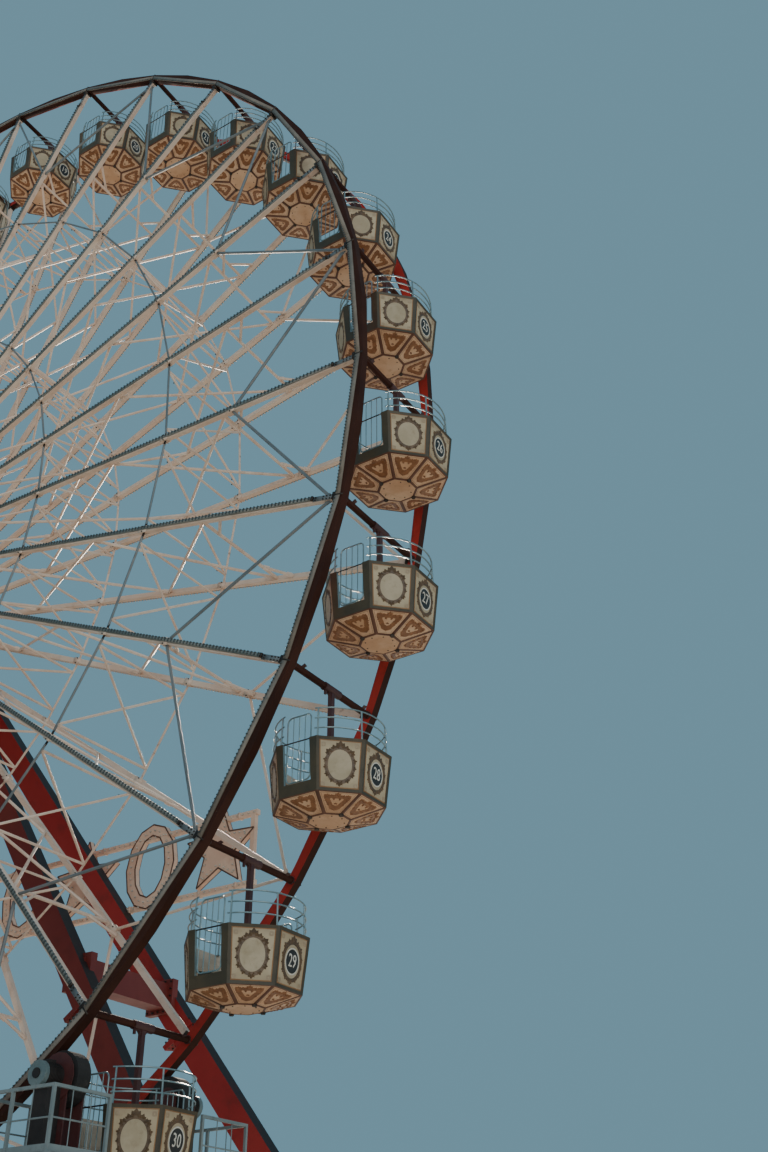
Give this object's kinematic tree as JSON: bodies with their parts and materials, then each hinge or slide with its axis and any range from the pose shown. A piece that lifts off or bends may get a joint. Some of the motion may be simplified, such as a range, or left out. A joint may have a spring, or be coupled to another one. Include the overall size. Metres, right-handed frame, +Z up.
{
  "type": "ferris wheel",
  "caption": "Fairground ferris wheel: twin-rim spoked wheel on splayed legs, with open octagonal cabins that stay level.",
  "frame": {"origin": "on the ground, under the middle of the hub", "axes": "+Z up, Y along the axle from the near side to the far side, +X to the right of the wheel seen from -Y"},
  "size_m": [36.0268, 17.2, 37.4884],
  "materials": {
    "cabin_panels": "cream and brown painted panels with worn ochre trims",
    "rim_maroon": "dark maroon paint, dusty, chipped at the edges",
    "spoke_cream": "cream-white paint, weathered, with rust at the joints",
    "leg_dark_red": "deep red satin paint",
    "leg_red": "bright red satin paint",
    "sign_cream": "cream paint with an orange tint, weathered",
    "blue_grey": "pale blue-grey paint",
    "motor_steel": "dark grey-blue enamel with oil stains",
    "tyre_rubber": "black rubber, dusty"
  },
  "bodies": {
    "supports": {"bearing_head_near": "leg_dark_red", "bearing_head_far": "leg_dark_red", "inner_leg_near_left": "leg_dark_red", "outer_leg_near_left": "leg_red", "leg_brace_near_left": "leg_red", "inner_leg_near_right": "leg_dark_red", "outer_leg_near_right": "leg_red", "leg_brace_near_right": "leg_red", "inner_leg_far_left": "leg_dark_red", "outer_leg_far_left": "leg_red", "leg_brace_far_left": "leg_red", "inner_leg_far_right": "leg_dark_red", "outer_leg_far_right": "leg_red", "leg_brace_far_right": "leg_red", "sign": "sign_cream", "drive_tower_near": "blue_grey", "drive_tower_far": "blue_grey", "drive_motor_near": "motor_steel", "drive_motor_far": "motor_steel"},
    "wheel": {"rim_near": "rim_maroon", "rim_far": "rim_maroon", "spokes_near": "spoke_cream", "spokes_far": "spoke_cream", "wheel_web": "spoke_cream", "hub": "spoke_cream"},
    "cabin_01_body": {"cabin_01": "cabin_panels"},
    "cabin_02_body": {"cabin_02": "cabin_panels"},
    "cabin_03_body": {"cabin_03": "cabin_panels"},
    "cabin_04_body": {"cabin_04": "cabin_panels"},
    "cabin_05_body": {"cabin_05": "cabin_panels"},
    "cabin_06_body": {"cabin_06": "cabin_panels"},
    "cabin_07_body": {"cabin_07": "cabin_panels"},
    "cabin_08_body": {"cabin_08": "cabin_panels"},
    "cabin_09_body": {"cabin_09": "cabin_panels"},
    "cabin_10_body": {"cabin_10": "cabin_panels"},
    "cabin_11_body": {"cabin_11": "cabin_panels"},
    "cabin_12_body": {"cabin_12": "cabin_panels"},
    "cabin_13_body": {"cabin_13": "cabin_panels"},
    "cabin_14_body": {"cabin_14": "cabin_panels"},
    "cabin_15_body": {"cabin_15": "cabin_panels"},
    "cabin_16_body": {"cabin_16": "cabin_panels"},
    "cabin_17_body": {"cabin_17": "cabin_panels"},
    "cabin_18_body": {"cabin_18": "cabin_panels"},
    "cabin_19_body": {"cabin_19": "cabin_panels"},
    "cabin_20_body": {"cabin_20": "cabin_panels"},
    "cabin_21_body": {"cabin_21": "cabin_panels"},
    "cabin_22_body": {"cabin_22": "cabin_panels"},
    "cabin_23_body": {"cabin_23": "cabin_panels"},
    "cabin_24_body": {"cabin_24": "cabin_panels"},
    "cabin_25_body": {"cabin_25": "cabin_panels"},
    "cabin_26_body": {"cabin_26": "cabin_panels"},
    "cabin_27_body": {"cabin_27": "cabin_panels"},
    "cabin_28_body": {"cabin_28": "cabin_panels"},
    "cabin_29_body": {"cabin_29": "cabin_panels"},
    "cabin_30_body": {"cabin_30": "cabin_panels"},
    "cabin_31_body": {"cabin_31": "cabin_panels"},
    "cabin_32_body": {"cabin_32": "cabin_panels"},
    "tyre_near_body": {"drive_tyre_near": "tyre_rubber"},
    "tyre_far_body": {"drive_tyre_far": "tyre_rubber"}
  },
  "joints": [
    {"name": "wheel_spin", "type": "hinge", "parent": "supports", "child": "wheel", "pos_m": [0, 0, 20.4], "axis": [0, 1, 0], "continuous": true},
    {"name": "cabin_01_hang", "type": "hinge", "parent": "wheel", "child": "cabin_01_body", "pos_m": [2.8497, 0, 3.64055], "axis": [0, 1, 0], "continuous": true},
    {"name": "cabin_02_hang", "type": "hinge", "parent": "wheel", "child": "cabin_02_body", "pos_m": [-0.47467, 0, 3.40663], "axis": [0, 1, 0], "continuous": true},
    {"name": "cabin_03_hang", "type": "hinge", "parent": "wheel", "child": "cabin_03_body", "pos_m": [-3.78079, 0, 3.82575], "axis": [0, 1, 0], "continuous": true},
    {"name": "cabin_04_hang", "type": "hinge", "parent": "wheel", "child": "cabin_04_body", "pos_m": [-6.94162, 0, 4.88182], "axis": [0, 1, 0], "continuous": true},
    {"name": "cabin_05_hang", "type": "hinge", "parent": "wheel", "child": "cabin_05_body", "pos_m": [-9.83568, 0, 6.53424], "axis": [0, 1, 0], "continuous": true},
    {"name": "cabin_06_hang", "type": "hinge", "parent": "wheel", "child": "cabin_06_body", "pos_m": [-12.35177, 0, 8.71951], "axis": [0, 1, 0], "continuous": true},
    {"name": "cabin_07_hang", "type": "hinge", "parent": "wheel", "child": "cabin_07_body", "pos_m": [-14.39318, 0, 11.35366], "axis": [0, 1, 0], "continuous": true},
    {"name": "cabin_08_hang", "type": "hinge", "parent": "wheel", "child": "cabin_08_body", "pos_m": [-15.88148, 0, 14.33545], "axis": [0, 1, 0], "continuous": true},
    {"name": "cabin_09_hang", "type": "hinge", "parent": "wheel", "child": "cabin_09_body", "pos_m": [-16.75945, 0, 17.55031], "axis": [0, 1, 0], "continuous": true},
    {"name": "cabin_10_hang", "type": "hinge", "parent": "wheel", "child": "cabin_10_body", "pos_m": [-16.99337, 0, 20.87467], "axis": [0, 1, 0], "continuous": true},
    {"name": "cabin_11_hang", "type": "hinge", "parent": "wheel", "child": "cabin_11_body", "pos_m": [-16.57425, 0, 24.18079], "axis": [0, 1, 0], "continuous": true},
    {"name": "cabin_12_hang", "type": "hinge", "parent": "wheel", "child": "cabin_12_body", "pos_m": [-15.51818, 0, 27.34162], "axis": [0, 1, 0], "continuous": true},
    {"name": "cabin_13_hang", "type": "hinge", "parent": "wheel", "child": "cabin_13_body", "pos_m": [-13.86576, 0, 30.23568], "axis": [0, 1, 0], "continuous": true},
    {"name": "cabin_14_hang", "type": "hinge", "parent": "wheel", "child": "cabin_14_body", "pos_m": [-11.68049, 0, 32.75177], "axis": [0, 1, 0], "continuous": true},
    {"name": "cabin_15_hang", "type": "hinge", "parent": "wheel", "child": "cabin_15_body", "pos_m": [-9.04634, 0, 34.79318], "axis": [0, 1, 0], "continuous": true},
    {"name": "cabin_16_hang", "type": "hinge", "parent": "wheel", "child": "cabin_16_body", "pos_m": [-6.06455, 0, 36.28148], "axis": [0, 1, 0], "continuous": true},
    {"name": "cabin_17_hang", "type": "hinge", "parent": "wheel", "child": "cabin_17_body", "pos_m": [-2.8497, 0, 37.15945], "axis": [0, 1, 0], "continuous": true},
    {"name": "cabin_18_hang", "type": "hinge", "parent": "wheel", "child": "cabin_18_body", "pos_m": [0.47467, 0, 37.39337], "axis": [0, 1, 0], "continuous": true},
    {"name": "cabin_19_hang", "type": "hinge", "parent": "wheel", "child": "cabin_19_body", "pos_m": [3.78079, 0, 36.97425], "axis": [0, 1, 0], "continuous": true},
    {"name": "cabin_20_hang", "type": "hinge", "parent": "wheel", "child": "cabin_20_body", "pos_m": [6.94162, 0, 35.91818], "axis": [0, 1, 0], "continuous": true},
    {"name": "cabin_21_hang", "type": "hinge", "parent": "wheel", "child": "cabin_21_body", "pos_m": [9.83568, 0, 34.26576], "axis": [0, 1, 0], "continuous": true},
    {"name": "cabin_22_hang", "type": "hinge", "parent": "wheel", "child": "cabin_22_body", "pos_m": [12.35177, 0, 32.08049], "axis": [0, 1, 0], "continuous": true},
    {"name": "cabin_23_hang", "type": "hinge", "parent": "wheel", "child": "cabin_23_body", "pos_m": [14.39318, 0, 29.44634], "axis": [0, 1, 0], "continuous": true},
    {"name": "cabin_24_hang", "type": "hinge", "parent": "wheel", "child": "cabin_24_body", "pos_m": [15.88148, 0, 26.46455], "axis": [0, 1, 0], "continuous": true},
    {"name": "cabin_25_hang", "type": "hinge", "parent": "wheel", "child": "cabin_25_body", "pos_m": [16.75945, 0, 23.24969], "axis": [0, 1, 0], "continuous": true},
    {"name": "cabin_26_hang", "type": "hinge", "parent": "wheel", "child": "cabin_26_body", "pos_m": [16.99337, 0, 19.92533], "axis": [0, 1, 0], "continuous": true},
    {"name": "cabin_27_hang", "type": "hinge", "parent": "wheel", "child": "cabin_27_body", "pos_m": [16.57425, 0, 16.61921], "axis": [0, 1, 0], "continuous": true},
    {"name": "cabin_28_hang", "type": "hinge", "parent": "wheel", "child": "cabin_28_body", "pos_m": [15.51818, 0, 13.45838], "axis": [0, 1, 0], "continuous": true},
    {"name": "cabin_29_hang", "type": "hinge", "parent": "wheel", "child": "cabin_29_body", "pos_m": [13.86576, 0, 10.56432], "axis": [0, 1, 0], "continuous": true},
    {"name": "cabin_30_hang", "type": "hinge", "parent": "wheel", "child": "cabin_30_body", "pos_m": [11.68049, 0, 8.04823], "axis": [0, 1, 0], "continuous": true},
    {"name": "cabin_31_hang", "type": "hinge", "parent": "wheel", "child": "cabin_31_body", "pos_m": [9.04634, 0, 6.00682], "axis": [0, 1, 0], "continuous": true},
    {"name": "cabin_32_hang", "type": "hinge", "parent": "wheel", "child": "cabin_32_body", "pos_m": [6.06455, 0, 4.51852], "axis": [0, 1, 0], "continuous": true},
    {"name": "tyre_near_spin", "type": "hinge", "parent": "supports", "child": "tyre_near_body", "pos_m": [11.32852, -1.293, 7.04186], "axis": [0, 1, 0], "continuous": true},
    {"name": "tyre_far_spin", "type": "hinge", "parent": "supports", "child": "tyre_far_body", "pos_m": [11.32852, 1.293, 7.04186], "axis": [0, 1, 0], "continuous": true}
  ],
  "couplings": [
    {"joint": "cabin_01_hang", "follows": "wheel_spin", "ratio": -1},
    {"joint": "cabin_02_hang", "follows": "wheel_spin", "ratio": -1},
    {"joint": "cabin_03_hang", "follows": "wheel_spin", "ratio": -1},
    {"joint": "cabin_04_hang", "follows": "wheel_spin", "ratio": -1},
    {"joint": "cabin_05_hang", "follows": "wheel_spin", "ratio": -1},
    {"joint": "cabin_06_hang", "follows": "wheel_spin", "ratio": -1},
    {"joint": "cabin_07_hang", "follows": "wheel_spin", "ratio": -1},
    {"joint": "cabin_08_hang", "follows": "wheel_spin", "ratio": -1},
    {"joint": "cabin_09_hang", "follows": "wheel_spin", "ratio": -1},
    {"joint": "cabin_10_hang", "follows": "wheel_spin", "ratio": -1},
    {"joint": "cabin_11_hang", "follows": "wheel_spin", "ratio": -1},
    {"joint": "cabin_12_hang", "follows": "wheel_spin", "ratio": -1},
    {"joint": "cabin_13_hang", "follows": "wheel_spin", "ratio": -1},
    {"joint": "cabin_14_hang", "follows": "wheel_spin", "ratio": -1},
    {"joint": "cabin_15_hang", "follows": "wheel_spin", "ratio": -1},
    {"joint": "cabin_16_hang", "follows": "wheel_spin", "ratio": -1},
    {"joint": "cabin_17_hang", "follows": "wheel_spin", "ratio": -1},
    {"joint": "cabin_18_hang", "follows": "wheel_spin", "ratio": -1},
    {"joint": "cabin_19_hang", "follows": "wheel_spin", "ratio": -1},
    {"joint": "cabin_20_hang", "follows": "wheel_spin", "ratio": -1},
    {"joint": "cabin_21_hang", "follows": "wheel_spin", "ratio": -1},
    {"joint": "cabin_22_hang", "follows": "wheel_spin", "ratio": -1},
    {"joint": "cabin_23_hang", "follows": "wheel_spin", "ratio": -1},
    {"joint": "cabin_24_hang", "follows": "wheel_spin", "ratio": -1},
    {"joint": "cabin_25_hang", "follows": "wheel_spin", "ratio": -1},
    {"joint": "cabin_26_hang", "follows": "wheel_spin", "ratio": -1},
    {"joint": "cabin_27_hang", "follows": "wheel_spin", "ratio": -1},
    {"joint": "cabin_28_hang", "follows": "wheel_spin", "ratio": -1},
    {"joint": "cabin_29_hang", "follows": "wheel_spin", "ratio": -1},
    {"joint": "cabin_30_hang", "follows": "wheel_spin", "ratio": -1},
    {"joint": "cabin_31_hang", "follows": "wheel_spin", "ratio": -1},
    {"joint": "cabin_32_hang", "follows": "wheel_spin", "ratio": -1},
    {"joint": "tyre_near_spin", "follows": "wheel_spin", "ratio": -40.456},
    {"joint": "tyre_far_spin", "follows": "wheel_spin", "ratio": -40.456}
  ]
}
